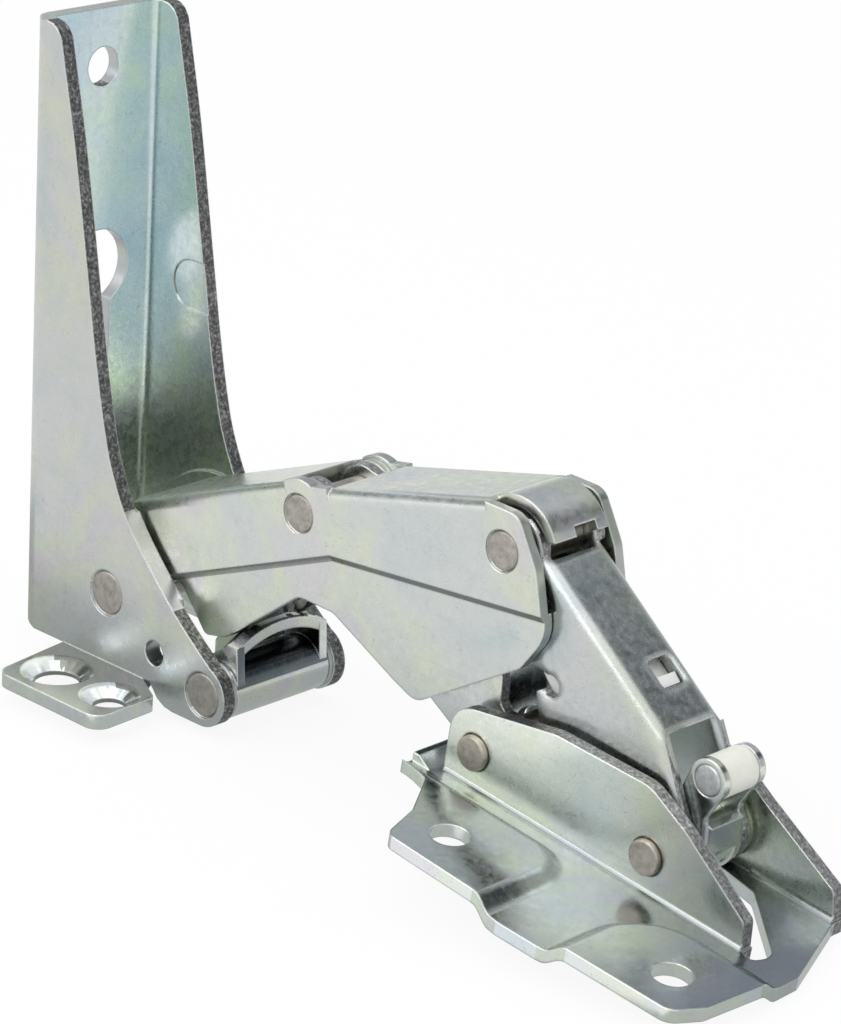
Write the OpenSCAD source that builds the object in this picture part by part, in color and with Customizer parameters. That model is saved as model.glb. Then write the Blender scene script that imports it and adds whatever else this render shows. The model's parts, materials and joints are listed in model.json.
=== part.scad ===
// Concealed refrigerator door hinge, shown fully open.
// Millimetres, +Z up. X = 0 is the back of the bracket web, Y = 0 the middle plane,
// Z = 0 the height of the arm pin.

/* [Bracket] */
// Height of the bracket above the underside of its foot
bracket_height = 86; // [82:1:96]
// Height of the arm pin above the underside of the foot
pin_height = 11.7; // [11.4:0.1:12]
// Sheet thickness of the bracket
bracket_sheet = 2; // [1.5:0.1:2.5]
// Screw hole at the top of the web
web_hole = 5.3; // [4:0.1:6]
// Round head of the keyhole
keyhole_head = 10.4; // [9:0.1:11]
// Width of the keyhole slot
keyhole_slot = 4.4; // [3.5:0.1:5]
// How far the screw foot stands out from the flange
foot_reach = 13.2; // [12.6:0.1:16]
// Larger foot screw hole
foot_hole_large = 6; // [5:0.1:6.4]
// Smaller foot screw hole
foot_hole_small = 4.2; // [3.5:0.1:4.6]

/* [Arm and links] */
// Reach of the arm, from the arm pin to the front link pin
arm_reach = 66.3; // [65:0.1:72]
// Width over the raised part of the arm
arm_width = 15.5; // [14:0.1:18]
// Sheet thickness of the arm
arm_sheet = 1.4; // [1.2:0.1:1.8]
// How far the lower arm walls are set in
arm_set_in = 0.6; // [0.3:0.1:0.9]
// Sheet thickness of the links
link_sheet = 1.5; // [1.2:0.1:1.7]
// Wall of the guide link sleeve
guide_wall = 1; // [0.8:0.1:1.3]

/* [Base plate] */
// Sheet thickness of the base plate
base_sheet = 1.8; // [1.5:0.1:2.2]
// How far the screw tabs are lifted
tab_lift = 1.6; // [1:0.1:1.7]
// How far the screw tabs stand out from the flange
tab_reach = 19.5; // [18:0.1:24]
// Screw hole in each tab
tab_hole = 5; // [4:0.1:6]

/* [Pins, washers and roller] */
// Bracket pins
bracket_pin = 6; // [5:0.1:6.5]
// Arm pins
arm_pin_size = 5; // [4.4:0.1:5.6]
// Base pins
base_pin_size = 4.6; // [4:0.1:5]
// Roller pin
roller_pin_size = 4; // [3.4:0.1:4.2]
// Roller size
roller_size = 5.4; // [5:0.1:6]
// Thickness of the washers beside the arm
arm_washer_size = 1.15; // [0.8:0.05:1.6]
// Thickness of the washers beside the inner link
inner_washer_size = 1.25; // [1:0.05:1.6]
// Thickness of the washers beside the front link
base_washer_size = 0.7; // [0.5:0.05:1.2]
// Thickness of the washers at the guide sleeve
guide_washer_size = 0.6; // [0.4:0.05:1]

/* [Hidden] */
$fa = 6;
$fs = 0.25;

// Pivots in the side view, X and Z, with the hinge fully open
pa = [17.5, 0];
pb = pa + [18.95, -8.2];
pc = pa + [31.8, 20.1];
pd = pa + [arm_reach, 25.8];
ph = pc + pb - pa;
pe = pd - [1.8, 26.74];
base_tilt = 7.0;
base_pitch = 28.33;
pf = pe + base_pitch * [cos(base_tilt), -sin(base_tilt)];
pg = pf + [4.5, 10.1];

// Fits
run = 0.05;
press = 0.0;
slip = 0.35;

// Levels across the hinge, measured from the middle plane and worked out from the arm
face = 0.1;
side_gap = 0.15;
pad = 0.6;
lever_sheet = 1;
arm_hi = arm_width / 2;
arm_lo = arm_hi - arm_set_in;
arm_in = arm_lo - arm_sheet;
br_in = arm_lo + face + arm_washer_size + pad;
br_out = br_in + bracket_sheet;
fl_out = arm_in - side_gap;
fl_in = fl_out - link_sheet;
il_out = arm_hi - arm_sheet - inner_washer_size - face;
il_in = il_out - link_sheet;
gl_out = il_in - slip;
gl_mid = arm_in - slip;
base_in = fl_out + face + base_washer_size;
base_out = base_in + base_sheet;
lever_out = fl_in - slip;
lever_in = lever_out - lever_sheet;
roller_half = lever_in - face;
barrel_half = br_in - guide_washer_size - face;

// Eyes round the pins
boss_r = bracket_pin / 2 + 1.3;
arm_eye = bracket_pin / 2 + 3.5;
arm_bump = arm_pin_size / 2 + 2.1;
inner_eye = arm_pin_size / 2 + 1.45;
front_eye = arm_pin_size / 2 + 2.1;
base_eye = base_pin_size / 2 + 1.9;
hood_in = front_eye + 0.55;
hood_out = hood_in + arm_sheet;
guide_barrel = bracket_pin + 2 * guide_wall;
lever_eye = max(roller_pin_size, roller_size) / 2;

// Front link axes: u runs from the front base pin to the arm end, v towards the link web
fl_u = (pd - pf) / norm(pd - pf);
fl_turn = atan2(fl_u[1], fl_u[0]);
web_a = pd + [5.0, -0.5];
web_b = pd + [24.8, -16.2];
web_len = norm(web_b - web_a);
web_turn = atan2(web_b[1] - web_a[1], web_b[0] - web_a[0]);
web_dir = (web_b - web_a) / web_len;
web_nor = [-web_dir[1], web_dir[0]];

// Base plate levels, from the pin axis down
floor_top = -4.5;
floor_bot = floor_top - base_sheet;
tab_top = floor_top + tab_lift;
tab_bot = tab_top - base_sheet;

function unit(v) = v / norm(v);
function xy(p) = [p[0], p[1]];
function corner(p, a, b, n) = p[2] <= 0 ? [xy(p)] :
    let (u = unit(xy(a) - xy(p)), w = unit(xy(b) - xy(p)), half = acos(u * w) / 2,
        s = xy(p) + u * p[2] / tan(half), e = xy(p) + w * p[2] / tan(half),
        m = xy(p) + unit(u + w) * p[2] / sin(half),
        a0 = atan2(s[1] - m[1], s[0] - m[0]), a1 = atan2(e[1] - m[1], e[0] - m[0]),
        d = ((a1 - a0 + 540) % 360) - 180)
    [for (i = [0:n]) m + p[2] * [cos(a0 + d * i / n), sin(a0 + d * i / n)]];
// Closed outline with a radius at each point
function rounded(pts, n = 6) = [for (i = [0:len(pts) - 1])
    each corner(pts[i], pts[(i + len(pts) - 1) % len(pts)], pts[(i + 1) % len(pts)], n)];
// Smooth open curve through the points
function bend(p0, p1, p2, p3, t) = 0.5 * (2 * p1 + (p2 - p0) * t + (2 * p0 - 5 * p1 + 4 * p2 - p3) * t * t
    + (3 * p1 - p0 - 3 * p2 + p3) * t * t * t);
function smooth(pts, n = 3) = let (m = len(pts) - 1) [for (i = [0:m - 1], k = [0:n - 1])
    bend(pts[max(0, i - 1)], pts[i], pts[i + 1], pts[min(m, i + 2)], k / n), pts[m]];
// Outline of a slot between two centres
function slot_outline(a, b, r, n = 12) = let (t = atan2(b[1] - a[1], b[0] - a[0]))
    concat([for (i = [0:n]) b + r * [cos(t - 90 + 180 * i / n), sin(t - 90 + 180 * i / n)]],
        [for (i = [0:n]) a + r * [cos(t + 90 + 180 * i / n), sin(t + 90 + 180 * i / n)]]);
function shift(pts, d) = [for (p = pts) len(p) > 2 ? [p[0] + d[0], p[1] + d[1], p[2]] : p + d];

// Side outline drawn in X and Z, given thickness across the hinge
module side(y0, y1) {
    translate([0, y1, 0]) rotate([90, 0, 0]) linear_extrude(y1 - y0) children();
}
// Same outline on both sides of the middle plane
module both(y0, y1) {
    side(y0, y1) children();
    side(-y1, -y0) children();
}
module rod(p, d, y0, y1) {
    translate([p[0], y1, p[1]]) rotate([90, 0, 0]) cylinder(d = d, h = y1 - y0);
}
// Pin with broken end edges
module pin(p, d, y0, y1) {
    e = 0.2;
    rod(p, d, y0 + e, y1 - e);
    translate([p[0], y0, p[1]]) rotate([-90, 0, 0]) cylinder(d1 = d - 2 * e, d2 = d, h = e);
    translate([p[0], y1, p[1]]) rotate([90, 0, 0]) cylinder(d1 = d - 2 * e, d2 = d, h = e);
}
module ring(p, od, id, y0, y1) {
    difference() {
        rod(p, od, y0, y1);
        rod(p, id, y0 - 1, y1 + 1);
    }
}
module dot(p, r) {
    translate(p) circle(r);
}
// Hole for a fixed pin with a narrow relief round the outer face
module pin_hole(p, d, y) {
    rod(p, d + 2 * press, -y - 1, y + 1);
    for (s = [-1, 1]) rod(p, d + 0.36, min(s * (y - 0.35), s * (y + 1)), max(s * (y - 0.35), s * (y + 1)));
}
// Cutter that rounds a long outer edge between two side view points
module edge_round(p, q, half, r) {
    turn = atan2(q[1] - p[1], q[0] - p[0]);
    for (s = [0, 1]) mirror([0, s, 0])
        translate([p[0], 0, p[1]]) rotate([0, -turn, 0]) rotate([90, 0, 90])
            translate([0, 0, -0.6]) linear_extrude(norm(q - p) + 1.2) difference() {
                translate([half - r, -r]) square(r + 0.5);
                translate([half - r, -r]) circle(r);
            }
}
// Sloped step beside a raised wall, falling away to the right of the line from p to q
module slope(p, q, lo, hi, wide) {
    turn = atan2(q[1] - p[1], q[0] - p[0]);
    for (s = [0, 1]) mirror([0, s, 0])
        translate([p[0], 0, p[1]]) rotate([0, -turn, 0]) rotate([90, 0, 90])
            translate([0, 0, -0.15]) linear_extrude(norm(q - p) + 0.3)
                polygon([[lo - 0.3, 0.3], [hi, 0.3], [hi, 0], [lo, -wide], [lo - 0.3, -wide]]);
}

// Bracket
function lift(p) = p[1] > 40 ? [p[0], 40 + (p[1] - 40) * (bracket_height - 40) / 46] : p;
foot_level = [0, pin_height];
fa = pa + foot_level;
fb = pb + foot_level;
flange_front = [fb + boss_r * [0.337, 0.941], fb + [-4.75, 8.8], [26.2, 17.4], [21.3, 22.9], [18.2, 28.6], [16.4, 34],
    [14.2, 43.8], [11.5, 58.7], [9.2, 70.8], [7.1, 80]];
module flange_outline() {
    dot(fb, boss_r);
    polygon(concat(smooth([for (p = flange_front) lift(p)], 5),
        [for (p = [[6.4, 83.0], [6.1, 84.2], [5.4, 85.2], [4.4, 85.8], [3.2, 86]]) lift(p)],
        [[0, bracket_height], [0, 5.2], [0.5, 3.7], [1.6, 2.6], [3.2, 2], [26.4, 2], [27.2, 1.2], [28, 0.2],
        [29.4, -0.55], [31, -0.8], fb - [0, boss_r]]));
}
module bracket() {
    color([0.78, 0.79, 0.78]) translate([0, 0, -pin_height]) difference() {
        union() {
            intersection() {
                translate([0, 0, bracket_height / 2 - 3]) linear_extrude(bracket_height + 12, center = true)
                    difference() {
                        polygon(rounded([[0, -br_out, bracket_sheet + 1], [60, -br_out, 0], [60, br_out, 0],
                            [0, br_out, bracket_sheet + 1]]));
                        polygon(rounded([[bracket_sheet, -br_in, 1], [61, -br_in, 0], [61, br_in, 0],
                            [bracket_sheet, br_in, 1]]));
                    }
                side(-20, 20) flange_outline();
            }
            // Pressed pads round the arm pin
            both(br_in - pad, br_in + 0.1) intersection() {
                flange_outline();
                dot(fa, 12.4);
                translate([bracket_sheet + 1.4, 3]) square([40, 40]);
            }
            // Foot folded out from the left flange
            linear_extrude(bracket_sheet) polygon(rounded([[9.2, -br_out, 0], [25.2, -br_out, 0],
                [30.6, -br_out - 2.9, 1.2], [31.2, -br_out - foot_reach, 2.2],
                [11.2, -br_out - foot_reach, 2.2]]));
            translate([9.2, 0, 0]) intersection() {
                translate([0, -br_out, bracket_sheet]) rotate([0, 90, 0]) cylinder(r = bracket_sheet, h = 16);
                translate([0, -br_out - 0.01, 0]) cube([16, bracket_sheet + 0.02, bracket_sheet + 0.2]);
            }
        }
        // Web screw hole and keyhole
        translate([-1, 0, lift([0, 78.1])[1]]) rotate([0, 90, 0]) cylinder(d = web_hole, h = bracket_sheet + 2);
        translate([-1, 0, lift([0, 50.7])[1]]) rotate([0, 90, 0]) cylinder(d = keyhole_head, h = bracket_sheet + 2);
        translate([-1, -keyhole_slot / 2, 39]) cube([bracket_sheet + 2, keyhole_slot, 11]);
        translate([-1, 0, 39]) rotate([0, 90, 0]) cylinder(d = keyhole_slot, h = bracket_sheet + 2);
        // Pin holes and the small tooling holes
        pin_hole(fa, bracket_pin, br_out);
        pin_hole(fb, bracket_pin, br_out);
        rod([27.2, 6.3], 3.5, -br_out - 1, br_out + 1);
        // Shallow pressed mark on the right flange
        side(br_in - 0.2, br_in + 0.2) {
            dot([10.4, 48.8], 3.4);
            translate([10.4, 45.4]) square([8, 6.8]);
        }
        // Countersunk foot holes
        for (h = [[16, foot_hole_large], [26.4, foot_hole_small]])
            translate([h[0], -br_out - 6.9, 0]) {
                translate([0, 0, -1]) cylinder(d = h[1], h = 4);
                translate([0, 0, 0.3 * bracket_sheet])
                    cylinder(d1 = h[1], d2 = h[1] + 2 * bracket_sheet, h = 0.7 * bracket_sheet + 0.001);
            }
    }
}
module arm_pin() {
    color([0.62, 0.6, 0.57]) pin(pa, bracket_pin, -br_out + 0.1, br_out - 0.1);
}
module arm_washer(s) {
    y0 = arm_lo + face;
    y1 = br_in - pad;
    color([0.7, 0.71, 0.7]) ring(pa, 11, bracket_pin, min(s * y0, s * y1), max(s * y0, s * y1));
}
module arm_washer_left() { arm_washer(-1); }
module arm_washer_right() { arm_washer(1); }
module guide_pin() {
    color([0.62, 0.6, 0.57]) pin(pb, bracket_pin, -br_out + 0.1, br_out - 0.1);
}

// Guide link, rolled round the guide pin and running on the hidden pin in the inner link
module guide_washer(s) {
    y0 = barrel_half + face;
    y1 = br_in;
    color([0.7, 0.71, 0.7]) ring(pb, guide_barrel + 0.2, bracket_pin, min(s * y0, s * y1), max(s * y0, s * y1));
}
module guide_washer_left() { guide_washer(-1); }
module guide_washer_right() { guide_washer(1); }
arch_rise = 2.3;
arch_top = 8.8;
arch_r = (barrel_half * barrel_half + arch_rise * arch_rise) / 2 / arch_rise;
guide_strip = [[-3.6, 1.2, 0], [-3.6, 5.2, 1], [1.8, 12.8, 3], [9.4, 19.2, 4], [21.8, 22.0, 5], [31.8, 22.6, 0],
    [31.8, 17.8, 0], [22.2, 19.4, 4], [11.6, 16.8, 3], [4.0, 11.4, 3], [-1.8, 4.6, 0.8], [-1.8, 1.2, 0]];
module guide_link() {
    color([0.74, 0.75, 0.74]) difference() {
        union() {
            rod(pb, guide_barrel, -barrel_half, barrel_half);
            // Arched strap over the barrel, its ends turned down to the barrel
            intersection() {
                side(-barrel_half + 0.2, barrel_half - 0.2)
                    polygon(shift([[1.4, 0], [1.4, 12], [3.3, 12], [3.3, 0]], pb));
                translate([pb[0] - 5, 0, pb[1] + arch_top - arch_r]) rotate([0, 90, 0]) difference() {
                    cylinder(r = arch_r, h = 10);
                    translate([0, 0, -1]) cylinder(r = arch_r - link_sheet, h = 12);
                }
            }
            both(barrel_half - link_sheet, barrel_half - 0.2)
                polygon(shift([[-3.6, 0], [-3.6, 3.2], [0.6, 5.9], [1.4, 6.8], [3.3, 6.8], [3.8, 0]], pb));
            // Strip rising inside the arm, narrow between the inner link walls
            side(-gl_mid, gl_mid) intersection() {
                polygon(rounded(shift(guide_strip, pb)));
                translate(pb - [10, 0]) square([22.5, 40]);
            }
            side(-gl_out, gl_out) intersection() {
                polygon(rounded(shift(guide_strip, pb)));
                translate(pb + [8, 0]) square([40, 40]);
            }
            rod(ph, 7.4, -gl_out, gl_out);
        }
        rod(pb, bracket_pin + 2 * run, -20, 20);
        rod(ph, 4 + 2 * run, -20, 20);
    }
}

// Arm
arm_body = concat(shift([[-4.7, 4.4, 0], [0.9, 12.7, 1.8], [28.4, 23.3, 0], [37.0, 24.9, 0]], pa),
    shift([[-3.9, 5.4, 0.8], [2.3, 5.2, 2.5], [5.6, -0.8, 4], [7.4, -9.0, 5], [3.6, -14.2, 3],
    [-13.1, -24.3, 3], [-17.1, -22.6, 2]], pd),
    shift([[38.2, 8.6, 3], [31.9, 8.8, 3], [19.0, -1.1, 2.2], [15.2, -1.9, 1.2], [10.0, 4.3, 1.5],
    [5.8, 1.6, 0]], pa));
crease = [pa + [2.6, 14.5], pa + [3.9, 8.2], pa + [8.2, 4.4], pa + [37.5, 16.3], pd + [8.2, -6.18]];
arm_raised = concat(crease, [pd + [40, -3.2], pd + [40, 35], crease[0] + [0, 45]]);
in_r = arm_sheet * [sin(21.1), -cos(21.1)];
in_f = arm_sheet * [sin(13.9), -cos(13.9)];
arm_hollow = concat(shift([[-20, 4.64] + in_r, [27.2, 22.85] + in_r, [27.2, 60], [36.6, 60],
    [36.6, 24.8] + in_f], pa), shift([[-3.3, 5.55] + in_f, [-3.3, 35], [54, 35], [54, -66], [-99, -66]], pd));
module arm_outline() {
    polygon(rounded(arm_body));
    dot(pa, arm_eye);
    dot(pc, arm_bump);
}
module arm() {
    color([0.78, 0.79, 0.77]) difference() {
        union() {
            difference() {
                union() {
                    side(-arm_lo, arm_lo) arm_outline();
                    side(-arm_hi, arm_hi) intersection() {
                        arm_outline();
                        polygon(arm_raised);
                    }
                    intersection() {
                        union() {
                            for (i = [0:len(crease) - 2]) slope(crease[i], crease[i + 1], arm_lo, arm_hi, 0.9);
                        }
                        side(-20, 20) arm_outline();
                    }
                }
                side(-arm_in, arm_in) polygon(arm_hollow);
                side(-arm_hi + arm_sheet, arm_hi - arm_sheet) intersection() {
                    polygon(arm_hollow);
                    polygon(arm_raised);
                }
                edge_round(pa + [0.9, 12.7], pa + [28.4, 23.3], arm_hi, 1.8);
                edge_round(pa + [37.0, 24.9], pd + [-3.9, 5.4], arm_hi, 1.8);
            }
            // Hood over the front pin
            difference() {
                side(-arm_hi + arm_sheet + 1.1, arm_hi - arm_sheet - 2.2) intersection() {
                    difference() {
                        dot(pd, hood_out);
                        dot(pd, hood_in);
                    }
                    polygon([for (a = [[0, 0], [12, 20], [16, 60], [16, 95], [12, 128]])
                        pd + a[0] * [cos(a[1]), sin(a[1])]]);
                }
                translate([pd[0] + 4, -1.4, pd[1] + 0.6]) cube([5, 3.8, 2.8]);
            }
        }
        rod(pa, bracket_pin + 2 * run, -20, 20);
        pin_hole(pc, arm_pin_size, arm_hi);
        pin_hole(pd, arm_pin_size, arm_hi);
    }
}
module inner_link_pin() {
    color([0.62, 0.6, 0.57]) pin(pc, arm_pin_size, -arm_hi + 0.08, arm_hi - 0.08);
}
module inner_washer(s) {
    y0 = il_out + face;
    y1 = arm_hi - arm_sheet;
    color([0.7, 0.71, 0.7]) ring(pc, 8.2, arm_pin_size, min(s * y0, s * y1), max(s * y0, s * y1));
}
module inner_washer_left() { inner_washer(-1); }
module inner_washer_right() { inner_washer(1); }
module front_link_pin() {
    color([0.62, 0.6, 0.57]) pin(pd, arm_pin_size, -arm_hi + 0.08, arm_hi - 0.08);
}

// Inner link, two walls joined near the base; its base eye is a short slot
slot_turn = 20;
slot_a = pe + [cos(slot_turn), sin(slot_turn)] * -1.4;
slot_b = pe + [cos(slot_turn), sin(slot_turn)] * 2.05;
slot_half = base_pin_size / 2 + 0.42;
il_edge = concat(shift([[-3.3, -2.01, 0], [1.5, -2.56, 0], [3.9, 3.44, 0], [1.7, 4.94, 0.6], [0.8, 5.84, 0.8],
    [0.9, 9.74, 2], [-4.5, 14.94, 5]], pe), shift([[12.2, 1.4, 8], [1.35, 3.7, 0], [-2.3, -3.2, 0]], pc));
module inner_link() {
    color([0.76, 0.77, 0.76]) difference() {
        union() {
            both(il_in, il_out) {
                polygon(rounded(il_edge));
                dot(pc, inner_eye);
                polygon(slot_outline(slot_a, slot_b, slot_half + 1.4));
            }
            side(-il_out + 0.1, il_out - 0.1) polygon(shift([[-9.7, 1.89], [-6.1, -0.3], [-5.3, 1.04],
                [-8.9, 3.24]], pe));
        }
        rod(pc, arm_pin_size + 2 * run, -20, 20);
        rod(ph, 4 + 2 * press, -20, 20);
        side(-20, 20) polygon(slot_outline(slot_a, slot_b, slot_half));
    }
}
module guide_link_pin() {
    color([0.62, 0.6, 0.57]) pin(ph, 4, -il_out, il_out);
}

// Front link
window = 4.1;
window_y = -0.4;
fl_edge = shift([[-4.4, -1.2, 0], [-1.7, 4.2, 0], [5.0, -0.5, 0.6], [24.8, -16.2, 0.3], [29.1, -25.2, 2],
    [30.6, -29.4, 0], [26.3, -34.1, 0], [22.2, -31.1, 0], [6.0, -21.4, 2], [5.2, -16.8, 0.6], [3.7, -13.5, 0]], pd);
fl_hollow = [web_a + [4, 20], web_a, web_a - link_sheet * web_nor, web_b - link_sheet * web_nor
    - link_sheet * web_dir, web_b, web_b + [30, 0], web_b + [30, -60], web_a + [-60, -60], web_a + [-60, 20]];
module front_link() {
    color([0.77, 0.78, 0.77]) difference() {
        union() {
            side(-fl_out, fl_out) polygon(rounded(fl_edge));
            rod(pd, 2 * front_eye, -fl_out, fl_out);
            rod(pf, 2 * base_eye, -fl_out, fl_out);
        }
        // Spring hook notch
        rod(pd + [7.3, -15.6], 2.9, -20, 20);
        side(-20, 20) polygon(shift([[2.9, -13.2], [7.0, -14.3], [6.2, -16.4], [4.7, -17.2], [2.9, -17.2]], pd));
        side(-fl_in, fl_in) polygon(fl_hollow);
        edge_round(web_a, web_b, fl_out, 1.5);
        rod(pd, arm_pin_size + 2 * run, -20, 20);
        rod(pf, base_pin_size + 2 * run, -20, 20);
        rod(spring_seat, 3 + 2 * press, -20, 20);
        // Room for the roller under the web end
        rod(pf, 2 * (lever_len + lever_eye + slip), -fl_in, fl_in);
        // Square window over the slider
        translate([web_a[0], 0, web_a[1]]) rotate([0, -web_turn, 0]) translate([15.8, window_y, -4])
            linear_extrude(8) polygon(rounded([[0, 0, 0.6], [window, 0, 0.6], [window, window, 0.6], [0, window, 0.6]]));
    }
}
spring_seat = pf + 34.5 * fl_u;
module spring_seat_pin() {
    color([0.62, 0.6, 0.57]) pin(spring_seat, 3, -fl_out + 0.05, fl_out - 0.05);
}
module in_front_link() {
    translate([pf[0], 0, pf[1]]) rotate([0, -fl_turn, 0]) children();
}
spring_off = 0.5;
coil_r = 2.3;
wire = 0.9;
coil_a = 26.0 + wire / 2;
coil_b = 33.0 - wire / 2;
coil_halves = 8;
module closing_spring() {
    pitch = (coil_b - coil_a) / coil_halves;
    color([0.5, 0.5, 0.5]) in_front_link() translate([coil_a, 0, spring_off]) rotate([0, 90, 0])
        for (i = [0:coil_halves - 1]) translate([0, 0, (i + 0.5) * pitch])
            rotate([0, 0, i * 180]) rotate([0, -asin(pitch / 2 / coil_r), 0]) mirror([1, 0, 0])
                rotate_extrude(angle = 180) translate([coil_r, 0]) circle(d = wire);
}
module spring_slider() {
    color([0.93, 0.92, 0.86]) in_front_link() {
        side(-fl_in + 0.1, fl_in - 0.1) polygon(rounded([[16.6, 3.4, 0.8], [16.6, -4.9, 0.4], [26, -3.2, 0.5],
            [26, 6.3, 0.5], [21.4, 6.3, 0.8], [20.4, 3.5, 0.8]]));
        // Nose that runs in the square window and stops the slider at either end
        translate([17.05, window_y + 0.35, -6.3]) cube([1.45, window - 0.7, 3]);
        translate([25.5, 0, spring_off]) rotate([0, 90, 0]) cylinder(d = 3.2, h = 3.2);
    }
}

// Base plate, drawn level with its rear pin at the origin and tilted into place
module in_base() {
    translate([pe[0], 0, pe[1]]) rotate([0, base_tilt, 0]) children();
}
left_flange = [[-4.4, floor_bot, 0], [-4.6, 4.6, 4.2], [11.8, 8.3, 6], [26.9, 8.8, 5], [33, 5.9, 3],
    [43.7, -1.0, 1.0], [44.2, floor_bot, 0]];
right_flange = [[-4.4, floor_bot, 0], [-4.6, 4.6, 4.2], [11.8, 8.3, 6], [26.9, 8.8, 5], [33, 5.4, 3],
    [45.3, -0.7, 1.0], [46.4, floor_bot, 0]];
base_window = [[-3.8, -base_in, 0], [-3.8, base_in - 1.1, 2], [14, base_in - 1.1, 2], [18, base_in - 2, 2],
    [30, base_in - 2, 3], [36.5, base_in - 3.2, 2], [47.2, -base_in + 0.4, 2.2],
    [46.0, -base_out - 1.1, 1.2], [44.3, -base_out - 0.1, 0.2], [44.3, -base_in, 0]];
tab_in = base_out + 5.6;
tab_edge = base_out + tab_reach;
tab_row = base_out + 13;
rear_tab = 19.4;
front_tab = 34;
tab_fold = 2 * tab_lift;
fold_r = 0.8;
base_plan = [[-8, base_out, 1.5], [-8, -base_out - 4.2, 1], [-2.0, -tab_in - 0.4, 0.8], [2.4, -tab_in - 7.1, 1.2],
    [4.6, -tab_edge + 0.2, 1.8], [rear_tab - 0.5, -tab_edge, 3], [24, -tab_edge - 0.7, 3], [30, -tab_edge - 0.5, 3],
    [front_tab, -tab_edge, 2], [49.2, -tab_edge + 0.5, 2.2], [51.2, -tab_edge + 4.5, 1.6], [51.8, -tab_in, 0.4],
    [51.6, -base_out + 1.6, 1], [46.4, base_out - 2, 0.5], [46.4, base_out, 0.3]];
// Section of a drawn fold from a lifted tab down to the floor
function fold_line(h, n = 8) = [for (i = [0:n]) [tab_fold * i / n, h + tab_lift * (1 + cos(180 * i / n)) / 2]];
function turned(pts) = [for (i = [len(pts) - 1:-1:0]) pts[i]];
lap = 0.4;
module fold_section() {
    polygon(concat([[-lap, tab_top]], fold_line(floor_top), [[tab_fold + lap, floor_top], [tab_fold + lap, floor_bot]],
        turned(fold_line(floor_bot)), [[-lap, tab_bot]]));
}
// Lifted sheet with a drawn fold along its front and inner sides, round the corner between them
module lifted_tab(edge, r) {
    far = 80;
    mid = [edge - r, -tab_in - r];
    translate([0, 0, tab_bot]) linear_extrude(base_sheet)
        polygon(rounded([[-far, -far, 0], [edge, -far, 0], [edge, -tab_in, r], [-far, -tab_in, 0]]));
    translate([edge, mid[1], 0]) rotate([90, 0, 0]) linear_extrude(far + mid[1]) fold_section();
    translate([-far, -tab_in, 0]) rotate([90, 0, 90]) linear_extrude(far + mid[0]) fold_section();
    translate([mid[0], mid[1], 0]) rotate_extrude(angle = 90) translate([r, 0]) fold_section();
}
module tab_hollow(edge, r) {
    far = 80;
    polygon(rounded([[-far, -far, 0], [edge + tab_fold, -far, 0], [edge + tab_fold, -tab_in + tab_fold, r + tab_fold],
        [-far, -tab_in + tab_fold, 0]]));
}
// Inside bend where a flange stands on the floor, along s from a to b
module bend_fillet(a, b, y, turn) {
    translate([a, y, floor_top]) rotate([90, 0, 90]) linear_extrude(b - a) difference() {
        translate([min(0, turn * fold_r) - (turn > 0 ? 0.2 : 0), -0.2]) square(fold_r + 0.2);
        translate([turn * fold_r, fold_r]) circle(fold_r);
    }
}
module base_plate() {
    color([0.76, 0.78, 0.78]) in_base() difference() {
        union() {
            // Floor left flat between the tabs
            translate([0, 0, floor_bot]) linear_extrude(base_sheet) difference() {
                polygon(rounded(base_plan));
                polygon(rounded(base_window));
                tab_hollow(rear_tab, 4);
                mirror([1, 0]) tab_hollow(-front_tab, 6.5);
            }
            // Lifted screw tabs
            intersection() {
                union() {
                    lifted_tab(rear_tab, 4);
                    mirror([1, 0, 0]) lifted_tab(-front_tab, 6.5);
                }
                translate([0, 0, floor_bot - 1]) linear_extrude(base_sheet + tab_lift + 2) polygon(rounded(base_plan));
            }
            side(-base_out, -base_in) polygon(rounded(left_flange));
            side(base_in, base_out) polygon(rounded(right_flange));
            bend_fillet(-4.3, 44, -base_out, -1);
            bend_fillet(base_pitch + 5, 46, base_in, -1);
            // Raised rear lip
            side(-base_out - 2, base_out - 1) polygon([[-7.9, floor_bot + 0.3], [-7.9, floor_top + 1.2],
                [-7.0, floor_top + 1.2], [-4.9, floor_top], [-4.9, floor_bot + 0.3]]);
        }
        pin_hole([0, 0], base_pin_size, base_out);
        pin_hole([base_pitch, 0], base_pin_size, base_out);
        for (s = [9.0, 44.4]) translate([s, -tab_row, floor_bot - 1]) cylinder(d = tab_hole, h = 8);
    }
}
module rear_base_pin() {
    color([0.6, 0.57, 0.52]) in_base() pin([0, 0], base_pin_size, -base_out - 0.9, base_out + 0.4);
}
module rear_spacer(s) {
    y0 = il_out + slip;
    color([0.7, 0.71, 0.7]) in_base() ring([0, 0], 8, base_pin_size, min(s * y0, s * base_in), max(s * y0, s * base_in));
}
module rear_spacer_left() { rear_spacer(-1); }
module rear_spacer_right() { rear_spacer(1); }
module front_base_pin() {
    color([0.6, 0.57, 0.52]) in_base() pin([base_pitch, 0], base_pin_size, -base_out - 0.8, base_out + 0.4);
}
module front_washer(s) {
    y0 = fl_out + face;
    color([0.7, 0.71, 0.7]) in_base() ring([base_pitch, 0], 7.6, base_pin_size,
        min(s * y0, s * base_in), max(s * y0, s * base_in));
}
module front_washer_left() { front_washer(-1); }
module front_washer_right() { front_washer(1); }

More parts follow.
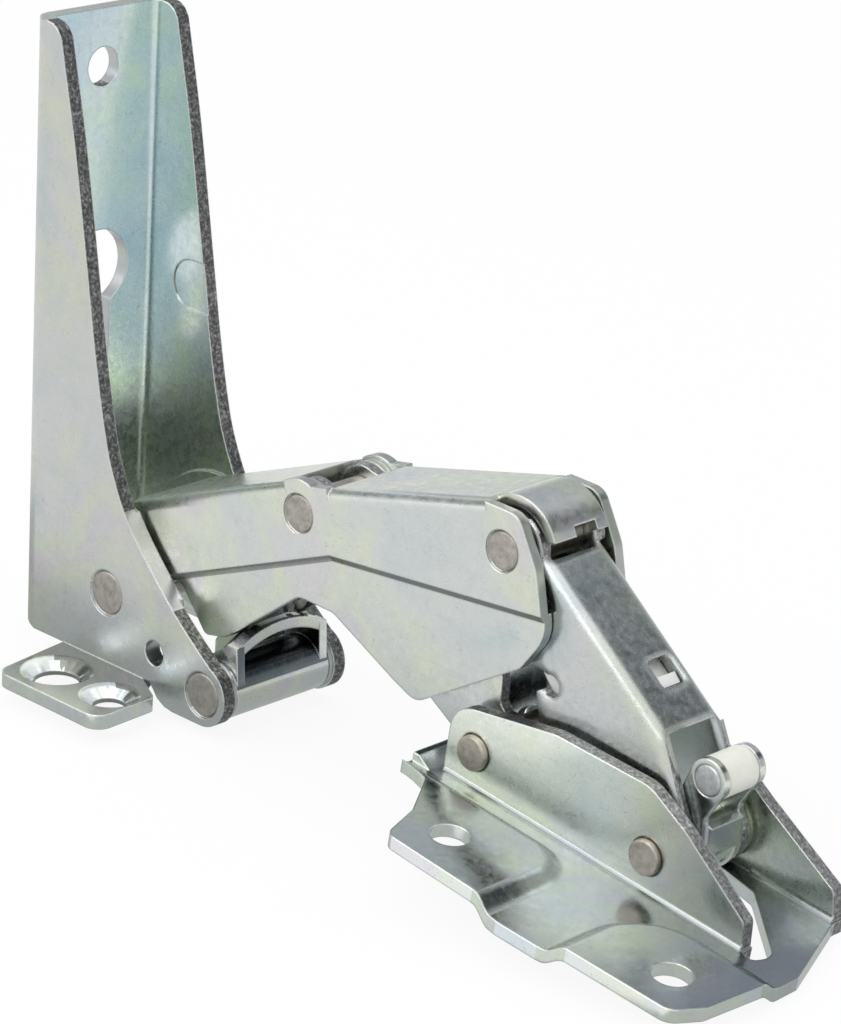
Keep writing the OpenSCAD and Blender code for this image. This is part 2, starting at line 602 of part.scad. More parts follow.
// Roller lever on the front base pin
lever_u = (pg - pf) / norm(pg - pf);
lever_v = [lever_u[1], -lever_u[0]];
function on_lever(pts) = [for (p = pts) pf + p[0] * lever_u + p[1] * lever_v];
lever_len = norm(pg - pf);
module lever_side() {
    dot(pg, lever_eye);
    dot(pf, base_eye + 0.3);
    polygon(on_lever([[0, -4.0], [5.2, -2.5], [lever_len, -2.6], [lever_len, 2.6], [6.4, 2.0], [2.0, 4.1]]));
}
module roller_lever() {
    color([0.78, 0.79, 0.78]) difference() {
        union() {
            both(lever_in, lever_out) lever_side();
            rod(pf, 2 * base_eye, -lever_in - 0.2, lever_in + 0.2);
            // Cross strip wrapped over the front of the sleeve
            side(-lever_in - 0.2, lever_in + 0.2) polygon(on_lever([[0, 2.9], [0, 4.0], [2.2, 4.3], [5.6, 3.2],
                [5.6, 2.1], [2.0, 2.9]]));
        }
        rod(pf, base_pin_size + 2 * press, -20, 20);
        rod(pg, roller_pin_size + 2 * press, -20, 20);
    }
}
module roller_pin() {
    color([0.72, 0.73, 0.72]) pin(pg, roller_pin_size, -lever_out - face, lever_out + face);
}
module roller() {
    color([0.93, 0.92, 0.85]) ring(pg, roller_size, roller_pin_size + 2 * run, -roller_half, roller_half);
}

bracket();
arm_pin();
arm_washer_left();
arm_washer_right();
guide_pin();
guide_washer_left();
guide_washer_right();
guide_link();
arm();
inner_link_pin();
inner_washer_left();
inner_washer_right();
front_link_pin();
inner_link();
guide_link_pin();
front_link();
spring_seat_pin();
closing_spring();
spring_slider();
base_plate();
rear_base_pin();
rear_spacer_left();
rear_spacer_right();
front_base_pin();
front_washer_left();
front_washer_right();
roller_lever();
roller_pin();
roller();
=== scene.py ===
import json
import math

import bmesh
import bpy
from mathutils import Matrix, Vector


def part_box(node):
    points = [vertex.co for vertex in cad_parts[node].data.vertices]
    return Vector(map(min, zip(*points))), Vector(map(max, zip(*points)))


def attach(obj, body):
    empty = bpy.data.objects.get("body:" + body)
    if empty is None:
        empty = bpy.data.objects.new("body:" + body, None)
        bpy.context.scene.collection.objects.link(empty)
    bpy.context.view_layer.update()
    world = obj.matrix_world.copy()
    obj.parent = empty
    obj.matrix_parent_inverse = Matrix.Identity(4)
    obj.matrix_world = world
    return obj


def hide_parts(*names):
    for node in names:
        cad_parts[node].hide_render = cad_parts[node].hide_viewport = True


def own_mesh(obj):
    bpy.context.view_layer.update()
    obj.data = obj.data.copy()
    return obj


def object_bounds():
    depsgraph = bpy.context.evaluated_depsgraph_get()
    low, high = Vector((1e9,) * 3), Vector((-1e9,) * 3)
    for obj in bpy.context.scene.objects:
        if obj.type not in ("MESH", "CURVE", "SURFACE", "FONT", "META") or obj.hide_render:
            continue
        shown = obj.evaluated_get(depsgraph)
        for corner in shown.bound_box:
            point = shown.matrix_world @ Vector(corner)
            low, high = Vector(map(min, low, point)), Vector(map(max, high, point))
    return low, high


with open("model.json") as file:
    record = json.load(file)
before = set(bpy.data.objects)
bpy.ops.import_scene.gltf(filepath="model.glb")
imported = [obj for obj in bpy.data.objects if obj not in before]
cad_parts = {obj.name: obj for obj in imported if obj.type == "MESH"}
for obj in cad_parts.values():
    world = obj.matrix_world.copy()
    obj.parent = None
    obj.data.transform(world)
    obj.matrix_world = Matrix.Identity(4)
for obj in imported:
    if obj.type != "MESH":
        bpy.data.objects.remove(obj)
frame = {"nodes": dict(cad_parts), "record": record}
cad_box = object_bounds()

# Millimetres in a metre
MM = 1000

scene = bpy.context.scene
scene.view_settings.view_transform = "Standard"
nodes = frame["nodes"]
bodies = frame["record"]["behaviour"]["bodies"]
body_of_node = {node: body for body, held in bodies.items() for node in held}


# Where a pin's axis crosses the middle plane, in millimetres
def pivot(name):
    low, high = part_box(name)
    mid = (low + high) / 2 * MM
    return Vector((mid.x, 0, mid.z))


# A material's nodes; its textures run in millimetres along the object's own axes
class Graph:
    def __init__(self, name):
        self.mat = bpy.data.materials.new(name)
        self.mat.use_nodes = True
        self.tree = self.mat.node_tree
        self.tree.nodes.clear()
        self.out = self.add("ShaderNodeOutputMaterial")
        self.bsdf = self.add("ShaderNodeBsdfPrincipled")
        self.link(self.bsdf.outputs["BSDF"], self.out.inputs["Surface"])
        coord = self.add("ShaderNodeTexCoord")
        scale = self.add("ShaderNodeVectorMath")
        scale.operation = "SCALE"
        scale.inputs["Scale"].default_value = MM
        self.link(coord.outputs["Object"], scale.inputs[0])
        self.mm = scale.outputs["Vector"]

    def add(self, kind):
        return self.tree.nodes.new(kind)

    def link(self, a, b):
        self.tree.links.new(a, b)

    def stretch(self, xyz):
        m = self.add("ShaderNodeMapping")
        m.inputs["Scale"].default_value = xyz
        self.link(self.mm, m.inputs["Vector"])
        return m.outputs["Vector"]

    def shifted(self, by):
        s = self.add("ShaderNodeVectorMath")
        s.operation = "ADD"
        s.inputs[1].default_value = by
        self.link(self.mm, s.inputs[0])
        return s.outputs["Vector"]

    def axes(self):
        part = self.add("ShaderNodeSeparateXYZ")
        self.link(self.mm, part.inputs[0])
        return part.outputs

    def noise(self, scale, detail=3.0, rough=0.55, warp=0.0, vector=None):
        n = self.add("ShaderNodeTexNoise")
        n.inputs["Scale"].default_value = scale
        n.inputs["Detail"].default_value = detail
        n.inputs["Roughness"].default_value = rough
        n.inputs["Distortion"].default_value = warp
        self.link(vector or self.mm, n.inputs["Vector"])
        return n.outputs["Fac"]

    def cells(self, scale):
        v = self.add("ShaderNodeTexVoronoi")
        v.inputs["Scale"].default_value = scale
        self.link(self.mm, v.inputs["Vector"])
        return v.outputs["Distance"]

    def ramp(self, fac, stops, smooth=False):
        r = self.add("ShaderNodeValToRGB")
        if smooth:
            r.color_ramp.interpolation = "EASE"
        e = r.color_ramp.elements
        while len(e) < len(stops):
            e.new(0.5)
        for i, (p, c) in enumerate(stops):
            e[i].position = p
            e[i].color = (c, c, c, 1) if isinstance(c, (int, float)) else (*c, 1)
        self.link(fac, r.inputs["Fac"])
        return r.outputs["Color"]

    def mix(self, fac, a, b, kind="MIX"):
        m = self.add("ShaderNodeMix")
        m.data_type = "RGBA"
        m.blend_type = kind
        for value, socket in ((fac, m.inputs["Factor"]), (a, m.inputs["A"]), (b, m.inputs["B"])):
            if isinstance(value, (int, float)):
                socket.default_value = value if socket.name == "Factor" else (value, value, value, 1)
            elif isinstance(value, tuple):
                socket.default_value = (*value, 1)
            else:
                self.link(value, socket)
        return m.outputs["Result"]

    def times(self, a, b):
        return self.mix(1.0, a, b, "MULTIPLY")

    # Lay a value over another where a mask is white, by a share
    def over(self, under, mask, value, share):
        return self.mix(self.times(mask, share), under, value)

    def math(self, op, a, b=0.0):
        m = self.add("ShaderNodeMath")
        m.operation = op
        for i, v in enumerate((a, b)):
            if isinstance(v, (int, float)):
                m.inputs[i].default_value = v
            else:
                self.link(v, m.inputs[i])
        return m.outputs["Value"]

    # Level along an axis, from stops in millimetres, for painted light and shade
    def fade(self, axis, stops):
        low, span = stops[0][0], stops[-1][0] - stops[0][0]
        along = self.math("DIVIDE", self.math("SUBTRACT", self.axes()[axis], low), span)
        return self.ramp(along, [((p - low) / span, v) for p, v in stops], smooth=True)

    # Normal that rounds the edges by a radius in millimetres
    def rounded(self, radius_mm, samples=4):
        bevel = self.add("ShaderNodeBevel")
        bevel.samples = samples
        bevel.inputs["Radius"].default_value = radius_mm / MM
        return bevel.outputs["Normal"]

    # Mask that is white along the edges and black elsewhere, and the normal that rounds them
    def edges(self, radius_mm, white, black):
        eased = self.rounded(radius_mm)
        flat = self.add("ShaderNodeNewGeometry").outputs["Normal"]
        dot = self.add("ShaderNodeVectorMath")
        dot.operation = "DOT_PRODUCT"
        self.link(eased, dot.inputs[0])
        self.link(flat, dot.inputs[1])
        return self.ramp(dot.outputs["Value"], [(white, 1.0), (black, 0.0)]), eased

    def bump(self, height, strength, distance_mm, normal=None):
        b = self.add("ShaderNodeBump")
        b.inputs["Strength"].default_value = strength
        b.inputs["Distance"].default_value = distance_mm / MM
        self.link(height, b.inputs["Height"])
        if normal is not None:
            self.link(normal, b.inputs["Normal"])
        return b.outputs["Normal"]

    def surface(self, colour, rough, normal):
        self.link(colour, self.bsdf.inputs["Base Color"])
        self.link(rough, self.bsdf.inputs["Roughness"])
        self.link(normal, self.bsdf.inputs["Normal"])
        return self.mat

    def metal(self, colour, rough, normal):
        self.bsdf.inputs["Metallic"].default_value = 1.0
        return self.surface(colour, rough, normal)


def tinted(tone, gains):
    return tuple(t * k for t, k in zip(tone, gains))


def scaled(values, gain):
    return tuple(v * gain for v in values)


# How far the brush marks are drawn out along each axis: small is long
BRUSH_FINE = (0.05, 1.0, 1.0)
BRUSH_X = (0.06, 1.0, 1.0)
BRUSH_Z = (1.0, 1.0, 0.06)
BRUSH_XZ = (0.3, 1.0, 0.3)

# Casts of the passivation film, as gains on the plate's tone
COLD = (0.828, 0.90, 0.936)
GOLD = (1.03, 1.05, 0.90)
ROSY = (1.02, 0.965, 1.0)
DULL = 0.7

# Colours of the marks
SPECK = (0.22, 0.22, 0.21)
HAIRLINE = (0.24, 0.24, 0.24)
SCUFF = (0.36, 0.37, 0.37)
# Light edges stand for wear and a painted highlight
EDGE_WEAR_AND_HIGHLIGHT_ZINC = (0.88, 0.88, 0.87)
EDGE_WEAR_AND_HIGHLIGHT_CUT = (0.90, 0.90, 0.89)
EDGE_WEAR_AND_HIGHLIGHT_STEEL = (0.74, 0.73, 0.71)

# How far the plate's roughness strays, what wear takes off it, and the least it leaves
ROUGH_DOWN, ROUGH_UP, ROUGH_WORN, ROUGH_LEAST = 0.07, 0.10, 0.12, 0.12

# Millimetres between the patterns of two seeds
SEED_STEP = (37.1, 11.7, 23.3)


# Bright zinc plate with a faint uneven passivation tint, scuffs, specks, and edges lightened for wear and as
# a painted highlight.
# A level along an axis paints light and shade over the colour, and soft_mm rounds the look of the bends
def zinc(name, tone, seed, rough=0.3, warm=1.0, brush=BRUSH_FINE, fade=None, soft_mm=None):
    g = Graph(name)
    drift = g.shifted(scaled(SEED_STEP, seed))

    cold, gold, rosy = tinted(tone, COLD), tinted(tone, scaled(GOLD, warm)), tinted(tone, ROSY)
    cloud = g.noise(0.055, detail=2.5, rough=0.5, warp=0.6, vector=drift)
    casts = [(0.28, cold), (0.46, tone), (0.56, gold), (0.66, rosy), (0.78, tone)]
    colour = g.ramp(cloud, casts, smooth=True)
    film = g.noise(0.17, detail=4.0, rough=0.6, warp=0.8, vector=drift)
    colour = g.mix(g.ramp(film, [(0.35, 0.0), (0.7, 0.45)]), colour, cold)
    grain = g.noise(2.4, detail=6.0, rough=0.7)
    colour = g.mix(0.10, colour, g.ramp(grain, [(0.3, 0.45), (0.7, 1.0)]), "MULTIPLY")
    blot = g.noise(0.55, detail=6.0, rough=0.7, vector=drift)
    colour = g.mix(g.ramp(blot, [(0.56, 0.0), (0.74, 0.22)]), colour, scaled(tone, DULL))

    speck = g.ramp(g.cells(0.62), [(0.0, 1.0), (0.085, 0.0)])
    here = g.ramp(g.noise(0.3, detail=2.0, vector=drift), [(0.5, 0.0), (0.6, 1.0)])
    colour = g.over(colour, g.times(speck, here), SPECK, share=0.5)
    wander = g.noise(0.75, detail=2.0, rough=0.5, warp=1.4, vector=drift)
    hair = g.ramp(g.math("ABSOLUTE", g.math("SUBTRACT", wander, 0.5)), [(0.0, 1.0), (0.010, 0.0)])
    here = g.ramp(g.noise(0.42, detail=3.0, vector=drift), [(0.47, 0.0), (0.57, 1.0)])
    colour = g.over(colour, g.times(hair, here), HAIRLINE, share=0.5)
    scratch = g.noise(1.0, detail=4.0, rough=0.7, vector=g.stretch(brush))
    colour = g.over(colour, g.ramp(scratch, [(0.60, 0.0), (0.70, 1.0)]), SCUFF, share=0.18)
    # Painted light and shade: the colour scaled by a level along an axis
    if fade:
        colour = g.times(colour, g.fade(*fade))
    # Edges lightened for wear and as a painted highlight
    wear_and_highlight, eased = g.edges(0.35, white=0.80, black=0.97)
    colour = g.over(colour, wear_and_highlight, EDGE_WEAR_AND_HIGHLIGHT_ZINC, share=0.55)
    if soft_mm:
        eased = g.rounded(soft_mm, samples=6)

    uneven = g.noise(0.9, detail=6.0, rough=0.65, vector=drift)
    polish = g.ramp(uneven, [(0.3, rough - ROUGH_DOWN), (0.7, rough + ROUGH_UP)])
    polish = g.over(polish, wear_and_highlight, max(rough - ROUGH_WORN, ROUGH_LEAST), share=0.6)
    waves = g.bump(g.noise(0.11, detail=2.0, vector=drift), strength=0.22, distance_mm=0.55, normal=eased)
    fine = g.bump(grain, strength=0.22, distance_mm=0.02, normal=waves)
    return g.metal(colour, polish, g.bump(scratch, strength=0.16, distance_mm=0.02, normal=fine))


# Sheared sheet edge: dark and torn, with bright rims for wear and a painted highlight
def sheared(name, dark, mid, light):
    g = Graph(name)
    torn = g.noise(2.1, detail=7.0, rough=0.72)
    wear_and_highlight, eased = g.edges(0.3, white=0.72, black=0.96)
    colour = g.ramp(torn, [(0.30, dark), (0.50, mid), (0.66, light)])
    colour = g.over(colour, wear_and_highlight, EDGE_WEAR_AND_HIGHLIGHT_CUT, share=0.9)
    polish = g.ramp(torn, [(0.3, 0.55), (0.7, 0.36)])
    return g.metal(colour, polish, g.bump(torn, strength=0.55, distance_mm=0.12, normal=eased))


# Turned rings, in radians per millimetre of radius, and the gains of a rivet's lightest and darkest blots
RING_RATE = 16.0
RIVET_LIGHT, RIVET_DARK = 1.28, 0.72


# Rivet steel with turned rings about the pin's own axis, and edges lightened for wear and as a painted
# highlight
def rivet(pin, tone):
    g = Graph(pin + "_steel")
    axis, axes = pivot(pin), g.axes()
    dx = g.math("SUBTRACT", axes["X"], axis.x)
    dz = g.math("SUBTRACT", axes["Z"], axis.z)
    far = g.math("SQRT", g.math("ADD", g.math("MULTIPLY", dx, dx), g.math("MULTIPLY", dz, dz)))
    rings = g.math("SINE", g.math("MULTIPLY", far, RING_RATE))
    blot = g.noise(0.9, detail=5.0, rough=0.7)
    wear_and_highlight, eased = g.edges(0.3, white=0.78, black=0.97)
    blots = [(0.3, scaled(tone, RIVET_DARK)), (0.5, tone), (0.72, scaled(tone, RIVET_LIGHT))]
    colour = g.over(g.ramp(blot, blots), wear_and_highlight, EDGE_WEAR_AND_HIGHLIGHT_STEEL, share=0.5)
    polish = g.ramp(blot, [(0.3, 0.48), (0.7, 0.36)])
    turned = g.bump(rings, strength=0.10, distance_mm=0.03, normal=eased)
    pitted = g.bump(g.noise(3.0, detail=4.0), strength=0.2, distance_mm=0.02, normal=turned)
    return g.metal(colour, polish, pitted)


# Moulded acetal with a soft sheen and faint mottling
def acetal(name, tone, mottle=0.93):
    g = Graph(name)
    blot = g.noise(0.6, detail=4.0, rough=0.6)
    g.bsdf.inputs["Subsurface Weight"].default_value = 0.3
    g.bsdf.inputs["Subsurface Radius"].default_value = (1, 1, 1)
    g.bsdf.inputs["Subsurface Scale"].default_value = 0.003
    colour = g.ramp(blot, [(0.35, scaled(tone, mottle)), (0.65, tone)])
    polish = g.ramp(g.noise(1.6, detail=4.0), [(0.3, 0.34), (0.7, 0.46)])
    return g.surface(colour, polish, g.bump(g.noise(2.2, detail=3.0), strength=0.12, distance_mm=0.03))


# Bracket: flanges, then the web and flange insides in a cooler tint with painted light, lighter still low in
# the channel, and the foot with painted shade towards the flange
CHANNEL_LOW_PAINTED_LIGHT = (1.0, 0.92, 0.86)
ZINC_BRACKET = zinc("zinc_bracket", tone=(0.59, 0.60, 0.59), seed=0, brush=BRUSH_Z)
ZINC_WEB_PAINTED_LIGHT = zinc("zinc_web_painted_light", tone=(0.79, 0.92, 0.95), seed=6, rough=0.26, brush=BRUSH_Z,
                fade=("Z", [(8.0, CHANNEL_LOW_PAINTED_LIGHT), (40.0, 0.78)]))
ZINC_INNER_PAINTED_LIGHT = zinc("zinc_inner_painted_light", tone=(0.82, 0.93, 0.94), seed=7, rough=0.26, brush=BRUSH_Z,
                  fade=("Z", [(8.0, CHANNEL_LOW_PAINTED_LIGHT), (40.0, 0.85)]))
# Painted shade on the foot, darker towards the flange's fold
ZINC_FOOT_PAINTED_SHADE = zinc("zinc_foot_painted_shade", tone=(0.66, 0.68, 0.67), seed=11, rough=0.2,
                 fade=("Y", [(-27.0, 1.0), (-15.0, 0.42)]))

# Arm and links
ZINC_ARM = zinc("zinc_arm", tone=(0.67, 0.69, 0.67), seed=1, brush=BRUSH_X)
# Painted shade on the arm's pressed step below the crease
ZINC_STEP_PAINTED_SHADE = zinc("zinc_step_painted_shade", tone=(0.32, 0.33, 0.325), seed=1, brush=BRUSH_X)
ZINC_LINK = zinc("zinc_link", tone=(0.67, 0.685, 0.68), seed=2, rough=0.24, brush=BRUSH_XZ)
ZINC_FRONT = zinc("zinc_front", tone=(0.59, 0.605, 0.60), seed=2, rough=0.22, brush=BRUSH_XZ, soft_mm=1.4)
# Guide link: near-black painted shade in the gap under the strap and on the barrel's top, and painted half
# shade with a dark reflection on the left leg's front and the barrel's upper side
ZINC_PAINTED_SHADE = zinc("zinc_painted_shade", tone=(0.09, 0.095, 0.10), seed=13, rough=0.22)
ZINC_PAINTED_HALF_SHADE = zinc("zinc_painted_half_shade", tone=(0.21, 0.225, 0.235), seed=14, rough=0.22)

# Base plate: the sheet, then painted shade on the floor and the lifted tabs, the tabs darker towards X = 95
# mm, and painted light with a yellow-green cast on the outer flank, fading to painted shade towards X = 119
# mm
ZINC_BASE = zinc("zinc_base", tone=(0.62, 0.66, 0.63), seed=3, rough=0.26, warm=1.05, brush=BRUSH_X)
ZINC_FLOOR_PAINTED_SHADE = zinc("zinc_floor_painted_shade", tone=(0.335, 0.35, 0.378), seed=10, rough=0.2, brush=BRUSH_X)
ZINC_TAB_PAINTED_SHADE = zinc("zinc_tab_painted_shade", tone=(0.37, 0.392, 0.428), seed=10, rough=0.19, brush=BRUSH_X,
                fade=("X", [(95.0, 0.72), (111.0, 1.0)]))
ZINC_FLANK_PAINTED_LIGHT = zinc("zinc_flank_painted_light", tone=(0.93, 0.96, 0.86), seed=3, rough=0.29, warm=0.99, brush=BRUSH_X,
                  fade=("X", [(100.0, 1.0), (119.0, 0.45)]))

# Cut edges
ZINC_BRIGHT = zinc("zinc_bright", tone=(0.82, 0.84, 0.84), seed=12, rough=0.16)
ZINC_EDGE = zinc("zinc_edge", tone=(0.50, 0.51, 0.51), seed=8, rough=0.34)
TORN = sheared("sheared_edge", dark=0.04, mid=0.14, light=0.46)
TORN_LINK = sheared("sheared_link_edge", dark=0.10, mid=0.30, light=0.66)

# Small pieces
WASHER = zinc("zinc_washer", tone=(0.54, 0.55, 0.54), seed=4, rough=0.36)
CHROME = zinc("bright_lever", tone=(0.70, 0.72, 0.72), seed=9, rough=0.17)
SPRING = zinc("spring_wire", tone=(0.35, 0.35, 0.34), seed=5)
CREAM = acetal("cream_acetal", tone=(0.88, 0.87, 0.77))
WHITE = acetal("white_acetal", tone=(0.93, 0.92, 0.88))
RIVET_STEEL = (0.40, 0.375, 0.345)
BASE_PIN_STEEL = (0.45, 0.42, 0.36)
ROLLER_PIN_STEEL = (0.56, 0.58, 0.58)

# Limits for cleaning the meshes, in metres and degrees
SAME_POINT, SHORT_EDGE, FLAT_DEG = 2e-6, 2e-5, 0.6


# Skin on a copy of a node's mesh, with a material picked for each face.
# Flat faces are joined, but for a node whose window the joining would close,
# and small pieces have their edges broken
def dress(name, skins, pick=None, broken_mm=0.0, smooth_deg=24, join=True):
    bm = bmesh.new()
    bm.from_mesh(nodes[name].data)
    bmesh.ops.remove_doubles(bm, verts=bm.verts, dist=SAME_POINT)
    if join:
        bmesh.ops.dissolve_limit(bm, angle_limit=math.radians(FLAT_DEG), verts=bm.verts, edges=bm.edges)
        bmesh.ops.dissolve_degenerate(bm, dist=SHORT_EDGE, edges=bm.edges)
    mesh = bpy.data.meshes.new(name + "_skin")
    for f in bm.faces:
        f.smooth = True
        f.material_index = skins.index(pick(f)) if pick else 0
    bm.to_mesh(mesh)
    bm.free()
    for skin in skins:
        mesh.materials.append(skin)
    mesh.set_sharp_from_angle(angle=math.radians(smooth_deg))
    piece = bpy.data.objects.new(name + "_skin", mesh)
    scene.collection.objects.link(piece)
    if broken_mm:
        mod = piece.modifiers.new("broken_edges", "BEVEL")
        mod.width = broken_mm / MM
        mod.segments = 2
        mod.limit_method = "ANGLE"
        mod.angle_limit = math.radians(smooth_deg)
        mod.use_clamp_overlap = True
    even = piece.modifiers.new("flat_faces", "WEIGHTED_NORMAL")
    even.mode = "FACE_AREA"
    even.weight = 100
    even.keep_sharp = True
    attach(piece, body_of_node[name])
    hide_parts(name)
    return piece


# Shares of a face's normal along an axis: square on, nearly so, leaning, and at most for edge on
SQUARE_ON, NEARLY, LEANING, EDGE_ON = 0.95, 0.9, 0.3, 0.12


# Test for a cut face: edge on to the sheet, and about one sheet thick in millimetres
def thin_along(axis, low, high):
    def test(f):
        if abs(f.normal.dot(axis)) > EDGE_ON:
            return False
        d = [v.co.dot(axis) * MM for v in f.verts]
        return low <= max(d) - min(d) <= high
    return test


def within(value, span):
    return span[0] < value < span[1]


def middle(f):
    return f.calc_center_median() * MM


BASE_TILT = math.radians(7.0)
BASE_UP = Vector((math.sin(BASE_TILT), 0, math.cos(BASE_TILT)))
WEB_UP = Vector((0.621, 0, 0.784))
side_cut = thin_along(Vector((0, 1, 0)), 0.9, 2.15)
web_cut = thin_along(Vector((1, 0, 0)), 1.2, 2.1)
floor_cut = thin_along(Vector((0, 0, 1)), 1.2, 2.1)
base_cut = thin_along(BASE_UP, 1.2, 1.95)

# Places on the bracket: the foot and its countersinks, the web's front, the bends and the flange insides
FOOT_Y, COUNTERSINK_Y = -11.05, -15
WEB_FRONT_X = (1.5, 2.3)
BEND_X, BEND_Y, BEND_TURN = 4, 7, 0.05
INSIDE_Y = (8, 9.4)


# Bracket: torn flange edges, a cooler tint with painted light inside the channel, painted shade on the foot
# towards the flange, bright edges and countersinks on the foot
def bracket_pick(f):
    mid, n = middle(f), f.normal
    inward = n.y * mid.y < 0
    if mid.y < FOOT_Y:
        sunk = mid.y < COUNTERSINK_Y and LEANING < n.z < SQUARE_ON
        return ZINC_BRIGHT if sunk or floor_cut(f) else ZINC_FOOT_PAINTED_SHADE
    if n.x > SQUARE_ON and within(mid.x, WEB_FRONT_X):
        return ZINC_WEB_PAINTED_LIGHT
    if inward and mid.x < BEND_X and abs(mid.y) > BEND_Y and BEND_TURN < n.x < SQUARE_ON:
        return ZINC_WEB_PAINTED_LIGHT
    if inward and abs(n.y) > SQUARE_ON and within(abs(mid.y), INSIDE_Y):
        return ZINC_INNER_PAINTED_LIGHT
    if side_cut(f) or (n.z > NEARLY and web_cut(f)):
        return TORN
    return ZINC_EDGE if web_cut(f) else ZINC_BRACKET


# On the base plate: how far a floor face looks up, heights along the tilt, the left flange's outer side
FACING_UP = 0.5
TAB_LEVEL, FLANGE_LEVEL = 5.4, 7.5
FLANK_Y = (-14, -8)


# Base plate: torn flange edges, bright floor edges, painted shade on the floor and the tabs, and painted
# light on the outer flank
def base_pick(f):
    mid, n = middle(f), f.normal
    level = mid.dot(BASE_UP)
    if n.dot(BASE_UP) > FACING_UP and level < FLANGE_LEVEL:
        return ZINC_TAB_PAINTED_SHADE if level > TAB_LEVEL else ZINC_FLOOR_PAINTED_SHADE
    if n.y < -SQUARE_ON and within(mid.y, FLANK_Y):
        return ZINC_FLANK_PAINTED_LIGHT
    if side_cut(f):
        return TORN_LINK
    return ZINC_BRIGHT if base_cut(f) else ZINC_BASE


# Largest cut face on the arm, in square metres, and how the pressed step is turned
EDGE_AREA = 4e-5
STEP_SIDEWAYS, STEP_DOWN = (0.75, 0.97), -0.05


# Arm: plain cut edges, and painted shade on the pressed step below the crease
def arm_pick(f):
    if side_cut(f) and f.calc_area() < EDGE_AREA:
        return ZINC_EDGE
    pressed = within(abs(f.normal.y), STEP_SIDEWAYS) and f.normal.z < STEP_DOWN
    return ZINC_STEP_PAINTED_SHADE if pressed else ZINC_ARM


def inner_pick(f):
    return TORN_LINK if side_cut(f) else ZINC_LINK


ON_WEB = 0.98


# Front link: torn cut edges, but none on the sloping web
def front_pick(f):
    return TORN_LINK if side_cut(f) and abs(f.normal.dot(WEB_UP)) < ON_WEB else ZINC_FRONT


# Places on the guide link, from the guide pin: the strap's left leg, its insides and the barrel
GUIDE_PIN = pivot("guide_pin")
LEFT_LEG_Y, LEFT_LEG_RISE = -6, (0.03, LEANING)
INSIDE_LEG_Y, UNDER_STRAP_Z = 5, 3
BARREL_R, BARREL_TOP = 5.2, 0.72


# Guide link: the left leg's front, the gap under the strap and the barrel's upper side get painted shade,
# with a painted dark reflection on the barrel
def guide_pick(f):
    mid, n = middle(f) - GUIDE_PIN, f.normal
    if mid.y < LEFT_LEG_Y and n.x > NEARLY and within(n.z, LEFT_LEG_RISE):
        return ZINC_PAINTED_HALF_SHADE
    if abs(mid.y) > INSIDE_LEG_Y and abs(n.y) > NEARLY and n.y * mid.y < 0:
        return ZINC_PAINTED_SHADE
    if mid.z > UNDER_STRAP_Z and n.z < -LEANING:
        return ZINC_PAINTED_SHADE
    if math.hypot(mid.x, mid.z) > BARREL_R or n.z < LEANING:
        return ZINC_LINK
    return ZINC_PAINTED_SHADE if n.z > BARREL_TOP else ZINC_PAINTED_HALF_SHADE


# Folded sheets and the lever
dress("bracket", (ZINC_BRACKET, TORN, ZINC_WEB_PAINTED_LIGHT, ZINC_INNER_PAINTED_LIGHT, ZINC_EDGE, ZINC_FOOT_PAINTED_SHADE, ZINC_BRIGHT),
      bracket_pick)
dress("arm", (ZINC_ARM, ZINC_EDGE, ZINC_STEP_PAINTED_SHADE), arm_pick, smooth_deg=20)
dress("inner_link", (ZINC_LINK, TORN_LINK), inner_pick)
dress("front_link", (ZINC_FRONT, TORN_LINK), front_pick, smooth_deg=40, join=False)
dress("guide_link", (ZINC_LINK, ZINC_PAINTED_SHADE, ZINC_PAINTED_HALF_SHADE), guide_pick)
dress("base_plate", (ZINC_BASE, TORN_LINK, ZINC_BRIGHT, ZINC_FLOOR_PAINTED_SHADE, ZINC_FLANK_PAINTED_LIGHT, ZINC_TAB_PAINTED_SHADE), base_pick)
dress("roller_lever", (CHROME,))

# Pins, washers, spring, slider and roller
for pin in ("arm_pin", "guide_pin", "inner_link_pin", "front_link_pin", "guide_link_pin", "spring_seat_pin"):
    dress(pin, (rivet(pin, RIVET_STEEL),), broken_mm=0.08)
for pin in ("rear_base_pin", "front_base_pin"):
    dress(pin, (rivet(pin, BASE_PIN_STEEL),), broken_mm=0.10)
dress("roller_pin", (rivet("roller_pin", ROLLER_PIN_STEEL),), broken_mm=0.08)
for node in nodes:
    if "washer" in node or "spacer" in node:
        dress(node, (WASHER,), broken_mm=0.08)
spring = dress("closing_spring", (SPRING,), smooth_deg=60)
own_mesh(spring)
dress("spring_slider", (WHITE,))
dress("roller", (CREAM,), broken_mm=0.18)

# Camera at the photograph's angle; its place is in millimetres from the arm pin
FOCAL_PX, PICTURE_PX, SENSOR_MM = 3807.916, 1024, 36
ARM_PIN = Vector((17.5, 0, 0))
SIDEWAYS, UPWARDS, DISTANCE = 33.875, 8.305, 510.157
azimuth, elevation, roll = math.radians(42.945), math.radians(20.683), math.radians(3.383)
look = Vector((-math.sin(azimuth) * math.cos(elevation), math.cos(azimuth) * math.cos(elevation),
               -math.sin(elevation)))
level_right = Vector((math.cos(azimuth), math.sin(azimuth), 0))
level_up = level_right.cross(look)
right = level_right * math.cos(roll) + level_up * math.sin(roll)
up = level_up * math.cos(roll) - level_right * math.sin(roll)
cam_data = bpy.data.cameras.new("camera")
cam_data.sensor_width = SENSOR_MM
cam_data.lens = FOCAL_PX * SENSOR_MM / PICTURE_PX
cam_data.clip_start, cam_data.clip_end = 0.01, 20
cam = bpy.data.objects.new("camera", cam_data)
scene.collection.objects.link(cam)
spot = (right * SIDEWAYS + up * UPWARDS - look * DISTANCE + ARM_PIN) / MM
turn = Matrix((right, up, -look)).transposed().to_4x4()
